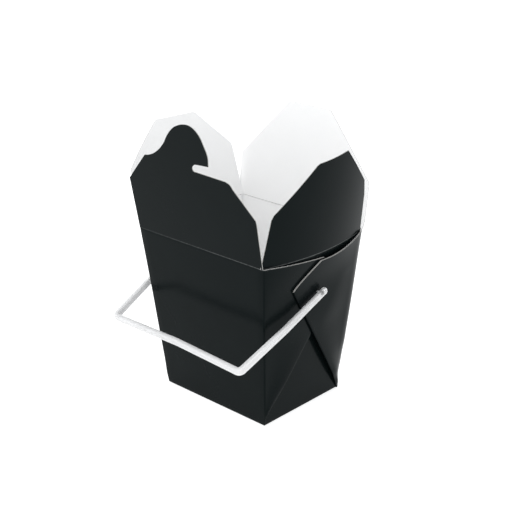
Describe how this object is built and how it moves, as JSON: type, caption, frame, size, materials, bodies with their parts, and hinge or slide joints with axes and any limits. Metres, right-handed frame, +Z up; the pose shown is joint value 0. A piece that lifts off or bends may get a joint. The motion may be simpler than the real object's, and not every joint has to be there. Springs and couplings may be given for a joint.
{
  "type": "noodle takeaway box",
  "caption": "Open folded-board food box with doubled corner folds on its ends, hinged lid flaps, one with a locking tongue, and a swinging bail handle.",
  "frame": {"origin": "centre of the flat bottom, on the surface that the box stands on", "axes": "+Z up, -Y towards the front wall whose flap has the locking tongue, +X towards the right end wall"},
  "size_m": [0.1261, 0.1154, 0.1798],
  "materials": {
    "board": "satin black coating outside, uncoated white inside, pale cut edges",
    "handle": "white moulded plastic, soft gloss"
  },
  "bodies": {
    "carton": {"carton": "board"},
    "front_flap": {"front_flap": "board"},
    "back_flap": {"back_flap": "board"},
    "left_flap": {"left_flap": "board"},
    "right_flap": {"right_flap": "board"},
    "handle": {"handle": "handle"}
  },
  "joints": [
    {"name": "front_crease", "type": "hinge", "parent": "carton", "child": "front_flap", "pos_m": [0, -0.04353, 0.104], "axis": [-1, 0, 0], "range_deg": [-15, 94]},
    {"name": "back_crease", "type": "hinge", "parent": "carton", "child": "back_flap", "pos_m": [0, 0.04353, 0.104], "axis": [1, 0, 0], "range_deg": [-15, 95.8]},
    {"name": "left_crease", "type": "hinge", "parent": "carton", "child": "left_flap", "pos_m": [-0.05153, 0, 0.0994], "axis": [0, 1, 0], "range_deg": [-15, 105.2]},
    {"name": "right_crease", "type": "hinge", "parent": "carton", "child": "right_flap", "pos_m": [0.05153, 0, 0.0994], "axis": [0, -1, 0], "range_deg": [-15, 100.5]},
    {"name": "handle_swing", "type": "hinge", "parent": "carton", "child": "handle", "pos_m": [0, 0, 0.0784], "axis": [-1, 0, 0], "range_deg": [-30, 45]}
  ]
}
